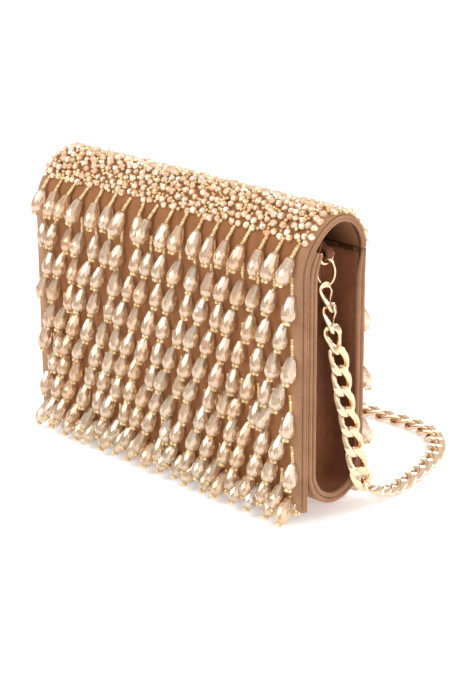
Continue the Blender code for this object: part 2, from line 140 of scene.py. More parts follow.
def new_material(name):
    mat = bpy.data.materials.new(name)
    mat.use_nodes = True
    return mat, mat.node_tree.nodes, mat.node_tree.links, mat.node_tree.nodes["Principled BSDF"]


def add_node(nodes, kind, **values):
    """A shader node, with inputs set by name (spaces written as _)."""
    node = nodes.new(kind)
    for key, value in values.items():
        node.inputs[key.replace("_", " ")].default_value = value
    return node


def color_ramp(nodes, stops):
    ramp = nodes.new("ShaderNodeValToRGB")
    elements = ramp.color_ramp.elements
    while len(elements) < len(stops):
        elements.new(0.5)
    for element, (position, color) in zip(elements, stops):
        element.position = position
        element.color = (*color, 1.0)
    return ramp


def object_coordinates(nodes):
    return nodes.new("ShaderNodeTexCoord").outputs["Object"]


def under_beads(nodes, links, color, place):
    """Deepens a colour between the bag's edges, for the shade that the close beadwork throws."""
    split = nodes.new("ShaderNodeSeparateXYZ")
    links.new(place, split.inputs[0])
    across = nodes.new("ShaderNodeMath")
    across.operation = "ABSOLUTE"
    links.new(split.outputs["X"], across.inputs[0])
    fade = add_node(nodes, "ShaderNodeMapRange", From_Min=0.0905, From_Max=0.0945, To_Min=1.0, To_Max=0.0)
    fade.interpolation_type = "SMOOTHSTEP"
    links.new(across.outputs[0], fade.inputs["Value"])
    mix = nodes.new("ShaderNodeMix")
    mix.data_type = "RGBA"
    mix.blend_type = "MULTIPLY"
    mix.inputs["B"].default_value = (0.80, 0.62, 0.46, 1.0)
    links.new(fade.outputs["Result"], mix.inputs["Factor"])
    links.new(color, mix.inputs["A"])
    return mix.outputs["Result"]


def suede(name, dark, light, sheen_color, nap=0.00022, sheen=0.35, beaded=False):
    """Napped suede: cloudy brushed tone, fine fibre grain and a soft sheen."""
    mat, nodes, links, shader = new_material(name)
    place = object_coordinates(nodes)
    clouds = add_node(nodes, "ShaderNodeTexNoise", Scale=95.0, Detail=4.0, Roughness=0.62)
    fibres = add_node(nodes, "ShaderNodeTexNoise", Scale=1400.0, Detail=3.0, Roughness=0.7)
    links.new(place, clouds.inputs["Vector"])
    links.new(place, fibres.inputs["Vector"])
    mix = nodes.new("ShaderNodeMath")
    mix.operation = "MULTIPLY_ADD"
    mix.inputs[1].default_value = 0.45
    links.new(fibres.outputs["Fac"], mix.inputs[0])
    scaled = nodes.new("ShaderNodeMath")
    scaled.operation = "MULTIPLY"
    scaled.inputs[1].default_value = 0.55
    links.new(clouds.outputs["Fac"], scaled.inputs[0])
    links.new(scaled.outputs[0], mix.inputs[2])
    ramp = color_ramp(nodes, [(0.30, dark), (0.70, light)])
    links.new(mix.outputs[0], ramp.inputs["Fac"])
    color = under_beads(nodes, links, ramp.outputs["Color"], place) if beaded else ramp.outputs["Color"]
    links.new(color, shader.inputs["Base Color"])
    bump = add_node(nodes, "ShaderNodeBump", Strength=0.5, Distance=nap)
    links.new(fibres.outputs["Fac"], bump.inputs["Height"])
    links.new(bump.outputs["Normal"], shader.inputs["Normal"])
    shader.inputs["Roughness"].default_value = 0.95
    shader.inputs["Specular IOR Level"].default_value = 0.15
    shader.inputs["Sheen Weight"].default_value = sheen
    shader.inputs["Sheen Roughness"].default_value = 0.45
    shader.inputs["Sheen Tint"].default_value = (*sheen_color, 1.0)
    return mat


def woven(name, dark, light):
    """Fine lining cloth with a close plain weave."""
    mat, nodes, links, shader = new_material(name)
    place = object_coordinates(nodes)
    heights = []
    for direction in ("X", "Z"):
        wave = add_node(nodes, "ShaderNodeTexWave", Scale=420.0, Distortion=0.6, Detail=1.0)
        wave.bands_direction = direction
        links.new(place, wave.inputs["Vector"])
        heights.append(wave.outputs["Fac"])
    weave = nodes.new("ShaderNodeMath")
    weave.operation = "MAXIMUM"
    links.new(heights[0], weave.inputs[0])
    links.new(heights[1], weave.inputs[1])
    ramp = color_ramp(nodes, [(0.1, dark), (0.9, light)])
    links.new(weave.outputs[0], ramp.inputs["Fac"])
    links.new(ramp.outputs["Color"], shader.inputs["Base Color"])
    bump = add_node(nodes, "ShaderNodeBump", Strength=0.4, Distance=0.00015)
    links.new(weave.outputs[0], bump.inputs["Height"])
    links.new(bump.outputs["Normal"], shader.inputs["Normal"])
    shader.inputs["Roughness"].default_value = 0.75
    shader.inputs["Specular IOR Level"].default_value = 0.2
    return mat


def crystal(name, stops, transmission, coating, roughness=0.03):
    """Faceted glass with a thin metal coating, each bead in its own shade of the ramp."""
    mat, nodes, links, shader = new_material(name)
    island = nodes.new("ShaderNodeNewGeometry").outputs["Random Per Island"]
    ramp = color_ramp(nodes, stops)
    links.new(island, ramp.inputs["Fac"])
    links.new(ramp.outputs["Color"], shader.inputs["Base Color"])
    shader.inputs["Roughness"].default_value = roughness
    shader.inputs["IOR"].default_value = 1.56
    shader.inputs["Transmission Weight"].default_value = transmission
    shader.inputs["Metallic"].default_value = coating
    shader.inputs["Coat Weight"].default_value = 0.25
    shader.inputs["Coat Roughness"].default_value = 0.02
    return mat


def painted_core_reflection():
    """Painted reflection: a pale material down the middle of each drop, standing in for the bright light its
    facets reflect there, a little different in each.
    """
    mat, nodes, links, shader = new_material("drop_core_pearl")
    island = nodes.new("ShaderNodeNewGeometry").outputs["Random Per Island"]
    ramp = color_ramp(nodes, [(0.0, (0.98, 0.93, 0.88)), (0.35, (0.90, 0.87, 0.95)),
                              (0.7, (1.0, 0.86, 0.68)), (1.0, (0.97, 0.97, 0.95))])
    links.new(island, ramp.inputs["Fac"])
    links.new(ramp.outputs["Color"], shader.inputs["Base Color"])
    shader.inputs["Roughness"].default_value = 0.35
    shader.inputs["Coat Weight"].default_value = 0.5
    return mat


def gold_seed():
    """Pale gold seed beads, lustrous, a little uneven in tone."""
    mat, nodes, links, shader = new_material("gold_seed_bead")
    island = nodes.new("ShaderNodeNewGeometry").outputs["Random Per Island"]
    ramp = color_ramp(nodes, [(0.0, (0.62, 0.40, 0.16)), (0.5, (0.78, 0.55, 0.26)),
                              (1.0, (0.90, 0.72, 0.42))])
    links.new(island, ramp.inputs["Fac"])
    links.new(ramp.outputs["Color"], shader.inputs["Base Color"])
    shader.inputs["Roughness"].default_value = 0.2
    shader.inputs["Metallic"].default_value = 0.25
    shader.inputs["Coat Weight"].default_value = 0.7
    shader.inputs["Coat Roughness"].default_value = 0.05
    return mat


def plated(name, color, rub):
    """Polished plating with faint polishing marks."""
    mat, nodes, links, shader = new_material(name)
    place = object_coordinates(nodes)
    marks = add_node(nodes, "ShaderNodeTexNoise", Scale=900.0, Detail=3.0, Roughness=0.6)
    links.new(place, marks.inputs["Vector"])
    ramp = color_ramp(nodes, [(0.3, color), (0.75, rub)])
    links.new(marks.outputs["Fac"], ramp.inputs["Fac"])
    links.new(ramp.outputs["Color"], shader.inputs["Base Color"])
    shine = nodes.new("ShaderNodeMapRange")
    shine.inputs["To Min"].default_value = 0.10
    shine.inputs["To Max"].default_value = 0.24
    links.new(marks.outputs["Fac"], shine.inputs["Value"])
    links.new(shine.outputs["Result"], shader.inputs["Roughness"])
    shader.inputs["Metallic"].default_value = 1.0
    return mat


def plain_stage(name, color):
    mat, _, _, shader = new_material(name)
    shader.inputs["Base Color"].default_value = (*color, 1.0)
    shader.inputs["Roughness"].default_value = 0.9
    shader.inputs["Specular IOR Level"].default_value = 0.1
    shader.inputs["Emission Color"].default_value = (1.0, 1.0, 1.0, 1.0)
    shader.inputs["Emission Strength"].default_value = 0.32
    return mat


BEADED_SUEDE = suede("beaded_suede", (0.27, 0.135, 0.070), (0.43, 0.235, 0.130), (1.0, 0.8, 0.62),
                     sheen=0.2, beaded=True)
EDGE_SUEDE = suede("edge_suede", (0.23, 0.110, 0.058), (0.38, 0.200, 0.112), (1.0, 0.8, 0.62))
DARK_SUEDE = suede("gusset_suede", (0.100, 0.032, 0.013), (0.175, 0.062, 0.027), (0.9, 0.55, 0.38),
                   sheen=0.12)
SEAM_SUEDE = suede("seam_suede", (0.07, 0.028, 0.014), (0.12, 0.050, 0.026), (0.8, 0.6, 0.4))
LINING = woven("lining_cloth", (0.22, 0.092, 0.044), (0.32, 0.145, 0.072))
THREAD = woven("stitch_thread", (0.10, 0.045, 0.024), (0.16, 0.075, 0.040))
BOARD = suede("card_board", (0.42, 0.36, 0.28), (0.55, 0.48, 0.38), (1.0, 1.0, 1.0))
DROP_GLASS = crystal("fringe_drop_glass", [(0.0, (1.0, 0.76, 0.52)), (0.45, (1.0, 0.84, 0.64)),
                                           (0.8, (1.0, 0.71, 0.46)), (1.0, (1.0, 0.90, 0.80))], 0.82, 0.30)
FIELD_GLASS = crystal("arch_crystal_glass", [(0.0, (1.0, 0.74, 0.50)), (0.4, (1.0, 0.66, 0.40)),
                                             (0.75, (1.0, 0.84, 0.66)), (1.0, (0.95, 0.56, 0.30))],
                      0.3, 0.45)
# painted reflection: the pale core that stands in for the bright light in the drops' middles
DROP_CORE_REFLECTION = painted_core_reflection()
SEED = gold_seed()
ROSE_GOLD = plated("rose_gold_plating", (0.76, 0.54, 0.35), (0.84, 0.64, 0.45))
STEEL = plated("magnet_plating", (0.55, 0.55, 0.55), (0.65, 0.65, 0.65))


# ---------------------------------------------------------------- mesh helpers

class Build:
    """Collects copies of small shapes into one mesh."""

    def __init__(self):
        self.verts = []
        self.faces = []
        self.slots = []
        self.smooth = []
        self.count = 0

    def add(self, shape, matrix, slot=0, smooth=False):
        points, faces = shape
        turned = points @ np.array(matrix.to_3x3()).T + np.array(matrix.translation)
        self.verts.append(turned)
        self.faces.extend(tuple(index + self.count for index in face) for face in faces)
        self.slots.extend([slot] * len(faces))
        self.smooth.extend([smooth] * len(faces))
        self.count += len(points)

    def finish(self, name, materials):
        mesh = bpy.data.meshes.new(name)
        mesh.from_pydata(np.concatenate(self.verts).tolist(), [], self.faces)
        for mat in materials:
            mesh.materials.append(mat)
        mesh.polygons.foreach_set("material_index", self.slots)
        mesh.polygons.foreach_set("use_smooth", self.smooth)
        mesh.update()
        return link(bpy.data.objects.new(name, mesh))


def link(obj):
    bpy.context.scene.collection.objects.link(obj)
    return obj


def ring_shape(rings, sides):
    """A faceted turned shape: rings of (radius, z, turn in half steps), joined by triangles or quads."""
    points = []
    for radius, z, turn in rings:
        for side in range(sides):
            angle = 2 * math.pi * (side + turn / 2) / sides
            points.append((radius * math.cos(angle), radius * math.sin(angle), z))
    faces = []
    for index in range(len(rings) - 1):
        low = index * sides
        high = low + sides
        shift = rings[index + 1][2] - rings[index][2]
        for side in range(sides):
            after = (side + 1) % sides
            a, b = low + side, low + after
            c, d = high + after, high + side
            if shift == 0:
                faces.append((a, b, c, d))
            elif shift > 0:
                faces.append((a, b, d))
                faces.append((b, c, d))
            else:
                faces.append((a, b, c))
                faces.append((a, c, d))
    faces.append(tuple(range(sides))[::-1])
    faces.append(tuple(range((len(rings) - 1) * sides, len(rings) * sides)))
    return np.array(points), faces


def drop_shape(sides=9):
    """A cut drop with a blunt neck at the origin: long facets to its belly, short ones below it."""
    profile = [(0.34, 1.0, 0), (0.72, 0.93, 0), (0.95, 0.79, 1), (1.0, 0.62, 0), (0.92, 0.42, 1),
               (0.66, 0.10, 1), (0.48, 0.0, 1)]
    rings = [(DROP_RADIUS * wide, -DROP_LENGTH * deep, turn) for wide, deep, turn in profile]
    return ring_shape(rings, sides)


def core_shape():
    """A thin tube down a drop's middle, which carries the painted reflection of the drop's bright centre."""
    path = [Vector((0, 0, -DROP_LENGTH * share)) for share in (0.03, 0.35, 0.68, 0.97)]
    return tube_shape(path, 0.0005, 6)


def round_shape(radius, sides, steps, faceted):
    rings = []
    for step in range(1, steps):
        angle = math.pi * step / steps
        turn = step % 2 if faceted else 0
        rings.append((radius * math.sin(angle), -radius * math.cos(angle), turn))
    return ring_shape(rings, sides)


def sheet_object(name, rows, thickness, mat):
    """A cloth sheet through rows of points, thickened inwards by Solidify."""
    mesh = bpy.data.meshes.new(name)
    width = len(rows[0])
    points = [point for row in rows for point in row]
    faces = []
    for r in range(len(rows) - 1):
        for c in range(width - 1):
            low = r * width + c
            faces.append((low, low + 1, low + width + 1, low + width))
    mesh.from_pydata(points, [], faces)
    mesh.materials.append(mat)
    obj = link(bpy.data.objects.new(name, mesh))
    bm = bmesh.new()
    bm.from_mesh(mesh)
    bmesh.ops.remove_doubles(bm, verts=bm.verts, dist=1e-6)
    bm.to_mesh(mesh)
    bm.free()
    mesh.polygons.foreach_set("use_smooth", [True] * len(mesh.polygons))
    solid = obj.modifiers.new("thickness", "SOLIDIFY")
    solid.thickness = thickness
    solid.offset = -1.0
    return obj


def tube_shape(path, radius, sides, closed=False, sideways=None):
    """A tube along points, of one radius or one for each; sideways fixes one cross direction."""
    points = []
    count = len(path)
    for index, here in enumerate(path):
        before = path[index - 1] if index or closed else here
        after = path[(index + 1) % count] if index < count - 1 or closed else here
        along = (after - before).normalized()
        side = sideways - along * sideways.dot(along) if sideways else along.orthogonal()
        side.normalize()
        other = along.cross(side)
        for step in range(sides):
            angle = 2 * math.pi * step / sides
            reach = radius[index] if isinstance(radius, list) else radius
            offset = side * (math.cos(angle) * reach) + other * (math.sin(angle) * reach)
            points.append(tuple(here + offset))
    faces = []
    for index in range(count if closed else count - 1):
        low = index * sides
        high = ((index + 1) % count) * sides
        for side in range(sides):
            after = (side + 1) % sides
            faces.append((low + side, low + after, high + after, high + side))
    if not closed:
        faces.append(tuple(range(sides))[::-1])
        faces.append(tuple(range((count - 1) * sides, count * sides)))
    return np.array(points), faces


IDENTITY = Matrix.Identity(4)
X_AXIS = Vector((1, 0, 0))


# ---------------------------------------------------------------- sections of the bag

def body_outline(depth, front_top, back_top, arc_steps=BASE_STEPS, straight_steps=24):
    """(y, z) points on the body wall, this deep inside it: the front's soft lip, front, base and back."""
    radius = BODY_RADIUS - depth
    centre_z = BASE_Z + BODY_RADIUS
    points = [(BODY_MIDDLE_Y - radius + inward, front_top + up) for inward, up in LIP]
    for step in range(straight_steps):
        z = front_top + (centre_z - front_top) * step / straight_steps
        points.append((BODY_MIDDLE_Y - radius, z))
    for step in range(arc_steps + 1):
        angle = math.pi + math.pi * step / arc_steps
        points.append((BODY_MIDDLE_Y + radius * math.cos(angle), centre_z + radius * math.sin(angle)))
    for step in range(1, straight_steps + 1):
        z = centre_z + (back_top - centre_z) * step / straight_steps
        points.append((BODY_MIDDLE_Y + radius, z))
    return points


def arch_point(share):
    """The outside of the arch: share -1 at the hinge, 0 on top, 1 where the flat front starts."""
    angle = min(abs(share), 1.0) * math.pi / 2
    if share < 0:
        return Vector((ARCH_Y + (BACK_Y - ARCH_Y) * math.sin(angle),
                       HINGE_Z + ARCH_BACK_RISE * math.cos(angle)))
    power = 2 / ARCH_FRONT_POWER
    y = ARCH_Y - (ARCH_Y - FLAP_Y) * math.sin(angle) ** power
    z = TOP_Z - ARCH_FRONT_RISE + ARCH_FRONT_RISE * max(math.cos(angle), 0.0) ** power
    return Vector((y, z))


def flap_line():
    """Fine (y, z) points on the flap's outside: hinge, arch, front, and on below its edge."""
    points = [arch_point(-1 + 2 * step / ARCH_STEPS) for step in range(ARCH_STEPS + 1)]
    start_z = points[ARCH_STEPS].y
    for step in range(1, FRONT_STEPS + 1):
        points.append(Vector((FLAP_Y, start_z + (FLAP_LINE_END_Z - start_z) * step / FRONT_STEPS)))
    return points


FLAP_LINE = flap_line()
FLAP_LENGTHS = [0.0]
for first, second in zip(FLAP_LINE, FLAP_LINE[1:]):
    FLAP_LENGTHS.append(FLAP_LENGTHS[-1] + (second - first).length)


def on_flap(distance, offset=0.0):
    """The (y, z) point at a distance along the flap from its hinge, and at an offset outwards."""
    index = 0
    while index < len(FLAP_LENGTHS) - 2 and FLAP_LENGTHS[index + 1] < distance:
        index += 1
    start, end = FLAP_LINE[index], FLAP_LINE[index + 1]
    along = (end - start).normalized()
    point = start + along * (distance - FLAP_LENGTHS[index])
    outward = Vector((along.y, -along.x))
    return point + outward * offset


def flap_distance(share=None, z=None):
    """How far along the flap an arch share, or a height on its flat front, lies."""
    if share is not None:
        return FLAP_LENGTHS[round((share + 1) / 2 * ARCH_STEPS)]
    return FLAP_LENGTHS[ARCH_STEPS] + FLAP_LINE[ARCH_STEPS].y - z


def on_back(distance, offset=0.0):
    """The (y, z) point at a distance down the back panel from the hinge."""
    return Vector((BACK_Y + offset, HINGE_Z - distance))


# ---------------------------------------------------------------- fabric

def ease(value, start, end):
    """0 at start, 1 at end, smooth between them."""
    share = min(max((value - start) / (end - start), 0.0), 1.0)
    return share * share * (3 - 2 * share)


def cloth_noise(x, y, z, amount, scale=60.0):
    return noise.noise(Vector((x, y, z)) * scale) * amount


def spread_x(line, inset, columns, wave=SHEET_WAVE):
    """Rows of points: a (y, z) line repeated across the bag, with a little unevenness."""
    rows = []
    for y, z in line:
        row = []
        for column in range(columns + 1):
            x = (HALF_WIDTH - inset) * (1 - 2 * column / columns)
            lift = cloth_noise(x, y, z, wave)
            row.append((x, y + lift, z + lift))
        rows.append(row)
    return rows


def make_body_cover():
    line = body_outline(0.0, FRONT_TOP_Z, HINGE_Z - HINGE_GAP)
    cover = sheet_object("body_cover_suede", spread_x(line, 0.0022, 40), COVER_THICK, BEADED_SUEDE)
    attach(cover, "bag")
    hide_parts("body_cover")


def make_flap_cover():
    last = flap_distance(z=FLAP_BOTTOM_Z)
    steps = 110
    line = [tuple(on_flap(HINGE_GAP + (last - HINGE_GAP) * step / steps)) for step in range(steps + 1)]
    cover = sheet_object("flap_cover_suede", spread_x(line, 0.0012, 40)[::-1], COVER_THICK, BEADED_SUEDE)
    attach(cover, "flap")
    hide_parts("flap_cover")


def make_crease():
    """The suede that runs on over the hinge from the back panel to the flap."""
    line = []
    steps = 16
    for step in range(steps + 1):
        reach = -CREASE_REACH + 2 * CREASE_REACH * step / steps
        if reach < 0:
            line.append((BACK_Y + CREASE_LIFT, HINGE_Z + reach))
        else:
            line.append(tuple(on_flap(reach, CREASE_LIFT)))
    crease = sheet_object("hinge_crease_suede", spread_x(line, 0.0014, 30, 0.0), 0.0006, BEADED_SUEDE)
    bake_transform(crease)


def edge_rolls(name, line, side, depths, radii, body, node, x_step, slim=None):
    """The rolled edge of a panel: two suede rolls with a dark seam between them.

    slim gives the height where the rolls start to narrow towards the flap's, and where they end.
    """
    build = Build()
    for depth, radius, slot in zip(depths, radii, (0, 1, 0)):
        path = []
        wires = []
        for (y, z), (ny, nz) in line:
            share = 1.0
            if slim and y > BODY_MIDDLE_Y:
                share = 1.0 - ROLL_SLIMMING * ease(z, slim[0], slim[1])
            x = side * (HALF_WIDTH - radius * share - (x_step if slot else 0.0))
            bump = cloth_noise(x, y, z, 0.00008, 300.0)
            path.append(Vector((x + bump, y - ny * depth * share, z - nz * depth * share)))
            wires.append(radius * share)
        build.add(tube_shape(path, wires, 12, sideways=X_AXIS), IDENTITY, slot, True)
    obj = build.finish(name, [EDGE_SUEDE, SEAM_SUEDE])
    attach(obj, body)
    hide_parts(node)


def make_stitches(side, end):
    """The row of stitches round the panel's edge, just inside its rolls."""
    line = with_normals(body_outline(0.0, FRONT_TOP_Z, HINGE_Z - EDGE_GAP))
    build = Build()
    walked = 0.0
    for ((y0, z0), _), ((y1, z1), (ny, nz)) in zip(line, line[1:]):
        step = math.hypot(y1 - y0, z1 - z0)
        walked += step
        if walked < STITCH_STEP:
            continue
        walked = 0.0
        along = Vector((0, y1 - y0, z1 - z0)).normalized() * 0.0008
        middle = Vector((side * (HALF_WIDTH - 0.0024), y1 - ny * STITCH_INSET, z1 - nz * STITCH_INSET))
        build.add(tube_shape([middle - along, middle, middle + along], 0.0003, 6), IDENTITY, 0, True)
    stitches = build.finish("edge_stitches_" + end, [THREAD])
    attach(stitches, "bag")


def with_normals(points):
    """Pairs of a (y, z) point and the outward direction there, outside to the left of travel."""
    pairs = []
    for index, (y, z) in enumerate(points):
        before = points[max(index - 1, 0)]
        after = points[min(index + 1, len(points) - 1)]
        along = Vector((after[0] - before[0], after[1] - before[1])).normalized()
        pairs.append(((y, z), (along.y, -along.x)))
    return pairs


def make_edges():
    """The rolled edges of the body's panel and of the flap, at both ends."""
    body_line = with_normals(body_outline(0.0, FRONT_TOP_Z, HINGE_Z - EDGE_GAP))
    last = flap_distance(z=FLAP_BOTTOM_Z)
    first = 0.0004
    steps = 90
    flap_points = [tuple(on_flap(first + (last - first) * step / steps)) for step in range(steps + 1)]
    flap_pairs = with_normals(flap_points)
    for side, end in ((1, "right"), (-1, "left")):
        edge_rolls("panel_edge_" + end, body_line, side, (0.00135, 0.0026, 0.0039),
                   (0.00135, 0.0008, 0.00125), "bag", "edge_piping_" + end, 0.0007,
                   slim=(HINGE_Z - 0.014, HINGE_Z))
        edge_rolls("flap_edge_roll_" + end, flap_pairs, side, (0.0008, 0.0015, 0.0022),
                   (0.0008, 0.0005, 0.0008), "flap", "flap_edge_" + end, 0.0004)


def make_gusset(side, end):
    """The dark suede end panel: it dips in from the panels' edges and sags softly in its middle."""
    rim_x = HALF_WIDTH - GUSSET_RIM_INSET
    deep_x = GUSSET_LOW.x + GUSSET_THICK + GUSSET_CLEARANCE
    boundary = body_outline(0.0036, FRONT_TOP_Z, HINGE_Z - 0.003, arc_steps=28, straight_steps=26)
    centre_z = BASE_Z + BODY_RADIUS
    rows = []
    inward_steps = 14
    for y, z in boundary:
        row = []
        for step in range(inward_steps + 1):
            share = step / inward_steps
            spine = Vector((BODY_MIDDLE_Y, max(z, centre_z)))
            here = Vector((y, z)).lerp(spine, share)
            dip = ease(share, 0.04, 0.42)
            from_middle = (here.x - BODY_MIDDLE_Y) / GUSSET_SAG_WIDTH
            sag = GUSSET_SAG * math.exp(-from_middle ** 2) * min((z - BASE_Z) / 0.03, 1)
            crumple = cloth_noise(here.x, here.y, side, 0.0005, 45.0) * dip
            x = rim_x + (deep_x - rim_x) * dip + sag + crumple
            up = 0.0
            if z > centre_z:
                rise = GUSSET_TOP_RISE * (1 - ((here.x - BODY_MIDDLE_Y) / BODY_RADIUS) ** 2)
                up = rise * (z - centre_z) / (HINGE_Z - centre_z)
            row.append((side * x, here.x, here.y + up))
        rows.append(row if side > 0 else row[::-1])
    gusset = sheet_object("gusset_suede_" + end, rows, 0.0009, DARK_SUEDE)
    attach(gusset, "bag")
    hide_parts("gusset_" + end)


# ---------------------------------------------------------------- beadwork

DROP = drop_shape()
DROP_CORE = core_shape()
SEED_SHAPE = round_shape(SEED_RADIUS, 7, 5, False)
CRYSTAL_SHAPE = round_shape(CRYSTAL_RADIUS, 8, 5, True)


def aim(down, turn):
    """A rotation that puts local -Z along a direction, turned about it."""
    axis = Vector(down).normalized()
    return axis.to_track_quat("-Z", "Y").to_matrix().to_4x4() @ Matrix.Rotation(turn, 4, "Z")


def hang_drop(build, top, down, outward, rng):
    """A drop and its end seed, hung from a point; the floor turns a low one outwards."""
    reach = DROP_LENGTH + 2 * SEED_RADIUS
    clear = 0.0006
    if top.z - reach * -down.z < clear:
        fall = min(max((top.z - clear) / reach, 0.02), 1.0)
        flat = Vector((down.x * 0.5, outward.y, 0)).normalized()
        down = Vector((0, 0, -fall)) + flat * math.sqrt(1 - fall * fall)
    turned = aim(down, rng.uniform(0, math.pi))
    size = rng.uniform(0.95, 1.06)
    place = Matrix.Translation(top) @ turned @ Matrix.Scale(size, 4)
    build.add(DROP, place, 0)
    build.add(DROP_CORE, place, 2, True)
    end = top + down * (DROP_LENGTH * size + SEED_RADIUS * 0.5)
    for third in range(3):
        aside = turned.to_3x3() @ Matrix.Rotation(2 * math.pi * third / 3, 3, "Z") @ X_AXIS
        build.add(SEED_SHAPE, Matrix.Translation(end + aside * SEED_RADIUS * 1.05), 1, True)


def hang_strand(build, x, line, start, outward_sign, lean, seeds, rng):
    """One strand: seed beads down the cloth from its stitch, then the drop."""
    sway = rng.gauss(0, 0.07)
    for seed in range(seeds):
        distance = SEED_STEP * (seed + 0.5)
        y, z = line(start + distance, SEED_RADIUS * 1.05 + distance * math.tan(lean) * 0.6)
        place = Vector((x + sway * distance, y, z))
        jitter = Vector((rng.uniform(-1, 1), rng.uniform(-1, 1), 0)) * 0.00012
        build.add(SEED_SHAPE, Matrix.Translation(place + jitter), 1, True)
    neck = SEED_STEP * seeds
    belly = neck + DROP_LENGTH * 0.62
    neck_y, neck_z = line(start + neck, SEED_RADIUS + neck * math.tan(lean) * 0.6)
    out = DROP_RADIUS * 1.06 + rng.uniform(0, 0.0006) + belly * math.tan(lean)
    belly_y, belly_z = line(start + belly, out)
    top = Vector((x + sway * neck, neck_y, neck_z))
    down = Vector((x + sway * belly * 1.3, belly_y, belly_z)) - top
    hang_drop(build, top, down.normalized(), Vector((0, outward_sign, 0)), rng)


def make_tier(node, body, count, line, start, outward_sign, lean, seeds, seed):
    """One row of threads; seeds is the seed beads on each, and seed starts its random draws."""
    rng = random.Random(seed)
    build = Build()
    half = (count - 1) * STRAND_PITCH / 2
    for index in range(count):
        x = -half + index * STRAND_PITCH + rng.gauss(0, 0.0004)
        if outward_sign > 0 and count == WIDE_ROW and index in (0, count - 1):
            x += math.copysign(CORNER_SHIFT, x)
        hang_strand(build, x, line, start + rng.gauss(0, 0.0003), outward_sign, lean, seeds, rng)
    tier = build.finish(node + "_strands", [DROP_GLASS, SEED, DROP_CORE_REFLECTION])
    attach(tier, body)
    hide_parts(node)


def tier_z(node):
    """The height of a row's stitched band, from its joint."""
    return JOINTS[node_joint(node)]["pos_m"][2]


def node_joint(node):
    side, number = node.split("_fringe_")
    return side + "_fringe_swing" + ("" if number == "01" else "_" + number)


def row_lean(from_bottom):
    """How far a row's threads lean out, in radians; the lowest rows lie on the drops below them."""
    return LOW_ROW_LEANS[from_bottom] if from_bottom < len(LOW_ROW_LEANS) else 0.0


def off_arch(distance, offset=0.0):
    """Where the first row hangs: straight off the arch on its seeds, then steeper from the drop's neck."""
    neck = SEED_STEP * SEEDS
    first, second = (Vector((-math.sin(angle), -math.cos(angle)))
                     for angle in (math.radians(42), math.radians(26)))
    point = on_flap(flap_distance(share=ARCH_ROW_SHARE), 0.0004) + first * min(distance, neck)
    if distance > neck:
        point += second * (distance - neck)
        return point + Vector((second.y, -second.x)) * min(offset, SEED_RADIUS)
    return point + Vector((first.y, -first.x)) * offset


def make_fringes():
    front = sorted(name for name in frame["nodes"] if name.startswith("front_fringe"))
    back = sorted(name for name in frame["nodes"] if name.startswith("back_fringe"))
    make_tier(front[0], front[0].replace("fringe", "tier"), WIDE_ROW, off_arch, 0.0, -1, 0.0, SEEDS, 100)
    for index, node in enumerate(front[1:], 1):
        from_bottom = len(front) - 1 - index
        count = WIDE_ROW - from_bottom % 2
        lean = row_lean(from_bottom)
        make_tier(node, node.replace("fringe", "tier"), count, on_flap, flap_distance(z=tier_z(node)), -1,
                  lean, SEEDS if from_bottom else 1, 100 + index)
    for index, node in enumerate(back):
        from_bottom = len(back) - 1 - index
        count = WIDE_ROW - (from_bottom + 1) % 2
        lean = row_lean(from_bottom)
        make_tier(node, node.replace("fringe", "tier"), count, on_back, HINGE_Z - tier_z(node), 1,
                  lean, SEEDS if from_bottom else 1, 200 + index)


def make_base_fringe():
    """Drops under the round base: short runs of seeds, then drops that lie out along the floor."""
    for side, node in ((-1, "base_fringe_front"), (1, "base_fringe_back")):
        rng = random.Random(31 + side)
        build = Build()
        count = WIDE_ROW - 1
        half = (count - 1) * STRAND_PITCH / 2
        for index in range(count):
            x = -half + index * STRAND_PITCH + rng.gauss(0, 0.0005)
            for seed in range(SEEDS - 2):
                angle = BASE_ROW_ANGLE + (seed + 0.5) * SEED_STEP / BODY_RADIUS
                reach = BODY_RADIUS + SEED_RADIUS * 1.1 + seed * 0.0002
                y = BODY_MIDDLE_Y + side * reach * math.sin(angle)
                z = BASE_Z + BODY_RADIUS - reach * math.cos(angle)
                build.add(SEED_SHAPE, Matrix.Translation((x, y, z)), 1, True)
            top = Vector((x, y + side * 0.001, z - 0.0006))
            splay = math.copysign(1.1, x) if index in (0, count - 1) else 0.0
            down = Vector((rng.gauss(0, 0.25) + splay, side, -0.4)).normalized()
            hang_drop(build, top, down, Vector((splay, side, 0)), rng)
        obj = build.finish(node + "_strands", [DROP_GLASS, SEED, DROP_CORE_REFLECTION])
        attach(obj, "bag")
        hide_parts(node)


def scattered(rng, width, start, end, spacing, tries, taken):
    """Random places (x, distance) on the arch, each clear of those taken, which it adds to.

    taken holds (x, distance, spacing) for every bead so far.
    """
    places = []
    for _ in range(tries):
        x = rng.uniform(-width, width)
        distance = rng.uniform(start, end)
        if taken:
            others = np.array(taken)
            apart = np.hypot(others[:, 0] - x, others[:, 1] - distance)
            if (apart < spacing + others[:, 2]).any():
                continue
        taken.append((x, distance, spacing))
        places.append((x, distance))
    return places


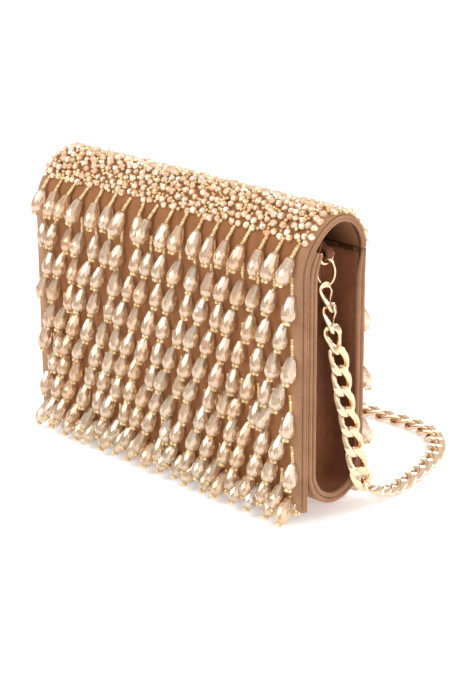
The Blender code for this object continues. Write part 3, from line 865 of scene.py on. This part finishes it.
def make_bead_field():
    """Close-set crystals over the arch, with seed beads in the gaps."""
    rng = random.Random(7)
    build = Build()
    start = flap_distance(share=FIELD_START_SHARE)
    end = flap_distance(share=ARCH_ROW_SHARE)
    width = HALF_WIDTH - 0.0022
    taken = []
    for x, distance in scattered(rng, width, start, end, CRYSTAL_RADIUS * 0.88, 9000, taken):
        y, z = on_flap(distance, CRYSTAL_RADIUS * rng.uniform(0.80, 1.10))
        spin = Matrix.Rotation(rng.uniform(0, 3), 4, "X") @ Matrix.Rotation(rng.uniform(0, 3), 4, "Y")
        place = Matrix.Translation((x, y, z)) @ spin @ Matrix.Scale(rng.uniform(0.88, 1.06), 4)
        build.add(CRYSTAL_SHAPE, place, 0)
    for x, distance in scattered(rng, width, start, end, SEED_RADIUS * 0.72, 5000, taken):
        y, z = on_flap(distance, rng.uniform(1.0, 2.2) * SEED_RADIUS)
        build.add(SEED_SHAPE, Matrix.Translation((x, y, z)), 1, True)
    field = build.finish("arch_crystals", [FIELD_GLASS, SEED])
    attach(field, "flap")
    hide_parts("bead_field")


# ---------------------------------------------------------------- chain and rings

def strap_drop(side):
    """The strap's route from its ring down past the gusset to the floor, listed as in the CAD."""
    half = HALF_WIDTH
    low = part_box("connector_ring_right")[0]
    points = [
        (half - 0.0080, 0.0012, low.z + 0.0010),
        (half - 0.0064, 0.0022, 0.1040),
        (half - 0.0055, 0.0026, 0.0940),
        (half - 0.0033, 0.0042, 0.0830),
        (half - 0.0017, 0.0052, 0.0720),
        (half - 0.0004, 0.0056, 0.0610),
        (half + 0.0018, 0.0070, 0.0500),
        (half + 0.0037, 0.0083, 0.0390),
        (half + 0.0053, 0.0097, 0.0280),
        (half + 0.0059, 0.0122, 0.0192),
        (half + 0.0053, 0.0182, 0.0124),
        (half + 0.0032, 0.0275, 0.0076),
        (half + 0.0004, 0.0370, 0.0040),
    ]
    return [Vector((side * x, y, z)) for x, y, z in points]


STRAP_FLOOR = [
    (0.0974, 0.0460), (0.0950, 0.0575), (0.0912, 0.0705), (0.0863, 0.0835),
    (0.0795, 0.0960), (0.0710, 0.1068), (0.0605, 0.1142), (0.0490, 0.1174),
    (0.0370, 0.1172), (0.0250, 0.1160), (0.0110, 0.1158), (-0.0080, 0.1163),
    (-0.0280, 0.1168), (-0.0500, 0.1170), (-0.0700, 0.1170), (-0.0880, 0.1170),
    (-0.1007, 0.1117), (-0.1060, 0.0990), (-0.1007, 0.0863), (-0.0880, 0.0810),
    (-0.0690, 0.0810), (-0.0450, 0.0810), (-0.0210, 0.0810), (0.0030, 0.0810),
    (0.0280, 0.0810), (0.0407, 0.0757), (0.0460, 0.0630), (0.0407, 0.0503),
    (0.0280, 0.0450), (0.0050, 0.0450), (-0.0200, 0.0450), (-0.0450, 0.0450),
    (-0.0680, 0.0462), (-0.0870, 0.0475),
]


def smooth_route(points, spacing):
    """Evenly spaced points on one smooth curve through the route."""
    fine = []
    padded = [points[0] * 2 - points[1]] + points + [points[-1] * 2 - points[-2]]
    for a, b, c, d in zip(padded, padded[1:], padded[2:], padded[3:]):
        for step in range(12):
            t = step / 12
            fine.append(0.5 * ((2 * b) + (c - a) * t + (2 * a - 5 * b + 4 * c - d) * t ** 2
                               + (3 * b - a - 3 * c + d) * t ** 3))
    fine.append(points[-1])
    total = sum((q - p).length for p, q in zip(fine, fine[1:]))
    count = round(total / spacing)
    even = [fine[0]]
    walked = 0.0
    for p, q in zip(fine, fine[1:]):
        length = (q - p).length
        while len(even) < count and walked + length >= len(even) * total / count:
            even.append(p.lerp(q, (len(even) * total / count - walked) / length))
        walked += length
    return even + [fine[-1]], total


def link_shape():
    """A curb link along local X: a slanting oval of stout flat wire, twisted to lie in its neighbours."""
    steps = 36
    sides = 12
    long_half = (LINK_LENGTH - LINK_WIRE_WIDTH) / 2
    wide_half = (LINK_WIDTH - LINK_WIRE_WIDTH) / 2
    slant = Matrix.Rotation(LINK_SLANT, 3, "Z")
    centres = []
    for step in range(steps):
        t = 2 * math.pi * step / steps
        centres.append(slant @ Vector((long_half * math.cos(t), wide_half * math.sin(t),
                                       -LINK_LIFT * math.sin(2 * t))))
    points = []
    for index, centre in enumerate(centres):
        along = (centres[(index + 1) % steps] - centres[index - 1]).normalized()
        side = along.cross(Vector((0, 0, 1))).normalized()
        up = side.cross(along)
        for step in range(sides):
            angle = 2 * math.pi * (step + 0.5) / sides
            wide = math.copysign(abs(math.cos(angle)) ** 0.7, math.cos(angle)) * LINK_WIRE_WIDTH / 2
            thick = math.copysign(abs(math.sin(angle)) ** 0.7, math.sin(angle)) * LINK_WIRE_THICK / 2
            point = centre + side * wide + up * thick
            point.z = max(-LINK_FLAT, min(LINK_FLAT, point.z))
            points.append(tuple(point))
    faces = []
    for index in range(steps):
        low = index * sides
        high = ((index + 1) % steps) * sides
        for side in range(sides):
            after = (side + 1) % sides
            faces.append((low + side, high + side, high + after, low + after))
    return np.array(points), faces


def chain_face(point):
    """The direction that the chain's flat face looks in, at a point of its route."""
    side = 1 if point.x > 0 else -1
    edge_on = Vector((0.94 * side, 0.34, 0))
    to_front = Vector((0.76 * side, -0.65, 0))
    hanging = edge_on.lerp(to_front, ease(point.z, 0.096, 0.078))
    return hanging.lerp(Vector((0, 0, 1)), ease(point.z, 0.026, 0.007))


def make_chain():
    laid = [Vector((x, y, CHAIN_FLOOR_Z)) for x, y in STRAP_FLOOR]
    points = strap_drop(1) + laid + strap_drop(-1)[::-1]
    places, total = smooth_route(points, LINK_PITCH)
    looks = [chain_face(place) for place in places]
    rng = random.Random(3)
    shape = link_shape()
    build = Build()
    for index in range(len(places) - 1):
        middle = (places[index] + places[index + 1]) / 2
        along = (places[index + 1] - places[index]).normalized()
        look = (looks[index] + looks[index + 1]).normalized()
        look = (look - along * look.dot(along)).normalized()
        across = look.cross(along)
        turn = Matrix((along, across, look)).transposed().to_4x4()
        tilt = Matrix.Rotation(rng.gauss(0, 0.02 if middle.z < LYING_Z else 0.06), 4, "X")
        build.add(shape, Matrix.Translation(middle) @ turn @ tilt, 0, True)
    chain = build.finish("curb_chain_strap", [ROSE_GOLD])
    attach(chain, "bag")
    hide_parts("chain_strap")
    rings = [make_connector(1, "right"), make_connector(-1, "left")]


def make_connector(side, end):
    """The oval ring between the D-ring and the strap's first link."""
    low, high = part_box("connector_ring_" + end)
    wire = 0.0007
    half_height = 0.0065
    half_width = 0.0041
    points = []
    for step in range(36):
        angle = 2 * math.pi * step / 36
        points.append(Vector((half_width * math.cos(angle), 0, half_height * math.sin(angle))))
    middle = Vector(((low.x + high.x) / 2, (low.y + high.y) / 2, high.z - half_height - wire))
    place = Matrix.Translation(middle) @ Matrix.Rotation(side * CONNECTOR_TURN, 4, "Z")
    build = Build()
    build.add(tube_shape(points, wire, 10, closed=True, sideways=Vector((0, 1, 0))), place, 0, True)
    ring = build.finish("connector_oval_" + end, [ROSE_GOLD])
    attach(ring, "bag")
    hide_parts("connector_ring_" + end)
    return ring


def make_d_ring(end):
    """A wire D whose straight bar lies on its joint's axis."""
    pivot = Vector(JOINTS["ring_swing_" + end]["pos_m"])
    wire = 0.0008
    half = 0.0045
    drop = pivot.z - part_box("d_ring_" + end)[0].z - wire
    points = [Vector((0, half * share, 0)) for share in (-1, -1 / 3, 1 / 3, 1)]
    steps = 20
    for step in range(1, steps):
        angle = math.pi * step / steps
        points.append(Vector((0, half * math.cos(angle), -drop * math.sin(angle))))
    build = Build()
    build.add(tube_shape(points, wire, 10, closed=True, sideways=X_AXIS), Matrix.Translation(pivot), 0, True)
    ring = build.finish("d_ring_wire_" + end, [ROSE_GOLD])
    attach(ring, "ring_" + end)
    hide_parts("d_ring_" + end)


def make_tab(side, end):
    """A strip of suede folded round the ring's bar and stitched to the gusset."""
    pivot = Vector(JOINTS["ring_swing_" + end]["pos_m"])
    inner = GUSSET_LOW.x + 0.0016
    thick = 0.0012
    bend = 0.0017
    line = []
    reach = abs(pivot.x) - inner
    for step in range(9):
        angle = -math.pi / 2 + math.pi * step / 8
        line.append((abs(pivot.x) + bend * math.cos(angle), pivot.z + bend * math.sin(angle)))
    line = [(inner, pivot.z - bend), (inner + reach * 0.5, pivot.z - bend)] + line
    line += [(inner + reach * 0.5, pivot.z + bend + 0.0004), (inner + 0.0012, pivot.z + bend + 0.0016),
             (inner, pivot.z + 0.0042)]
    rows = []
    width_steps = 8
    for x, z in line:
        row = []
        for step in range(width_steps + 1):
            y = pivot.y + 0.0044 * (step / width_steps - 0.5)
            row.append((side * x, y, z))
        rows.append(row if side < 0 else row[::-1])
    tab = sheet_object("strap_tab_suede_" + end, rows, thick, DARK_SUEDE)
    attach(tab, "bag")
    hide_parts("strap_tab_" + end)


# ---------------------------------------------------------------- inside pieces

def finish_inside():
    """Procedural finishes on the frame's own inside pieces."""
    for name in ("body_lining", "flap_lining", "slip_pocket"):
        assign(frame["nodes"][name], LINING)
    for name in ("front_board", "back_board", "base_board", "flap_board"):
        assign(frame["nodes"][name], BOARD)
    for name in ("front_magnet", "flap_magnet"):
        assign(frame["nodes"][name], STEEL)


def assign(obj, mat):
    obj.data.materials.clear()
    obj.data.materials.append(mat)


# ---------------------------------------------------------------- stage

def make_stage():
    mesh = bpy.data.meshes.new("floor")
    reach = 3.0
    mesh.from_pydata([(-reach, -reach, 0), (reach, -reach, 0), (reach, reach, 0), (-reach, reach, 0)],
                     [], [(0, 1, 2, 3)])
    mesh.materials.append(plain_stage("pale_floor", (0.94, 0.94, 0.94)))
    floor = link(bpy.data.objects.new("floor", mesh))
    floor.location.z = -0.0002


def area_light(name, place, target, size, power, color=(1, 1, 1)):
    data = bpy.data.lights.new(name, "AREA")
    data.shape = "RECTANGLE"
    data.size = size[0]
    data.size_y = size[1]
    data.energy = power
    data.color = color
    light = link(bpy.data.objects.new(name, data))
    light.location = place
    light.rotation_euler = (Vector(target) - Vector(place)).to_track_quat("-Z", "Y").to_euler()


def make_world():
    """A studio: white behind, and for the light a soft grey room with a dark band round its middle."""
    world = bpy.data.worlds.new("studio")
    world.use_nodes = True
    nodes, links = world.node_tree.nodes, world.node_tree.links
    place = nodes.new("ShaderNodeTexCoord")
    split = nodes.new("ShaderNodeSeparateXYZ")
    links.new(place.outputs["Generated"], split.inputs[0])
    height = nodes.new("ShaderNodeMapRange")
    height.inputs["From Min"].default_value = -1.0
    links.new(split.outputs["Z"], height.inputs["Value"])
    room = color_ramp(nodes, [(0.0, (0.9, 0.9, 0.9)), (0.44, (0.75, 0.75, 0.75)), (0.50, (0.60, 0.58, 0.56)),
                              (0.60, (0.66, 0.64, 0.62)), (0.70, (0.75, 0.75, 0.75)), (1.0, (1.0, 1.0, 1.0))])
    links.new(height.outputs["Result"], room.inputs["Fac"])
    path = nodes.new("ShaderNodeLightPath")
    shown = nodes.new("ShaderNodeMix")
    shown.data_type = "RGBA"
    shown.inputs["B"].default_value = (1.0, 1.0, 1.0, 1.0)
    links.new(path.outputs["Is Camera Ray"], shown.inputs["Factor"])
    links.new(room.outputs["Color"], shown.inputs["A"])
    links.new(shown.outputs["Result"], nodes["Background"].inputs["Color"])
    bpy.context.scene.world = world


def make_lights():
    make_world()
    middle = (0, 0, 0.07)
    area_light("key", (-0.30, -0.75, 0.85), middle, (0.85, 0.85), 7.0)
    area_light("fill", (0.95, -0.15, 0.45), middle, (0.9, 0.9), 2.6)
    area_light("rim", (0.60, 0.70, 0.50), middle, (0.4, 0.3), 4.0)
    area_light("back", (-0.95, 0.95, 0.48), middle, (0.9, 0.4), 3.5)


def make_camera():
    data = bpy.data.cameras.new("camera")
    data.lens = 98.0
    data.sensor_width = 36.0
    camera = link(bpy.data.objects.new("camera", data))
    turn = (Matrix.Rotation(math.radians(47.60), 4, "Z") @ Matrix.Rotation(math.radians(90 - 18.11), 4, "X")
            @ Matrix.Rotation(math.radians(-0.34), 4, "Z"))
    camera.matrix_world = Matrix.Translation((0.660, -0.5805, 0.3543)) @ turn
    bpy.context.scene.camera = camera
    bpy.context.scene.view_settings.view_transform = "Standard"


make_camera()
make_lights()
make_stage()
make_chain()
make_body_cover()
make_flap_cover()
make_crease()
make_edges()
for SIDE, END in ((1, "right"), (-1, "left")):
    make_gusset(SIDE, END)
    make_stitches(SIDE, END)
    make_d_ring(END)
    make_tab(SIDE, END)
make_fringes()
make_base_fringe()
make_bead_field()
finish_inside()
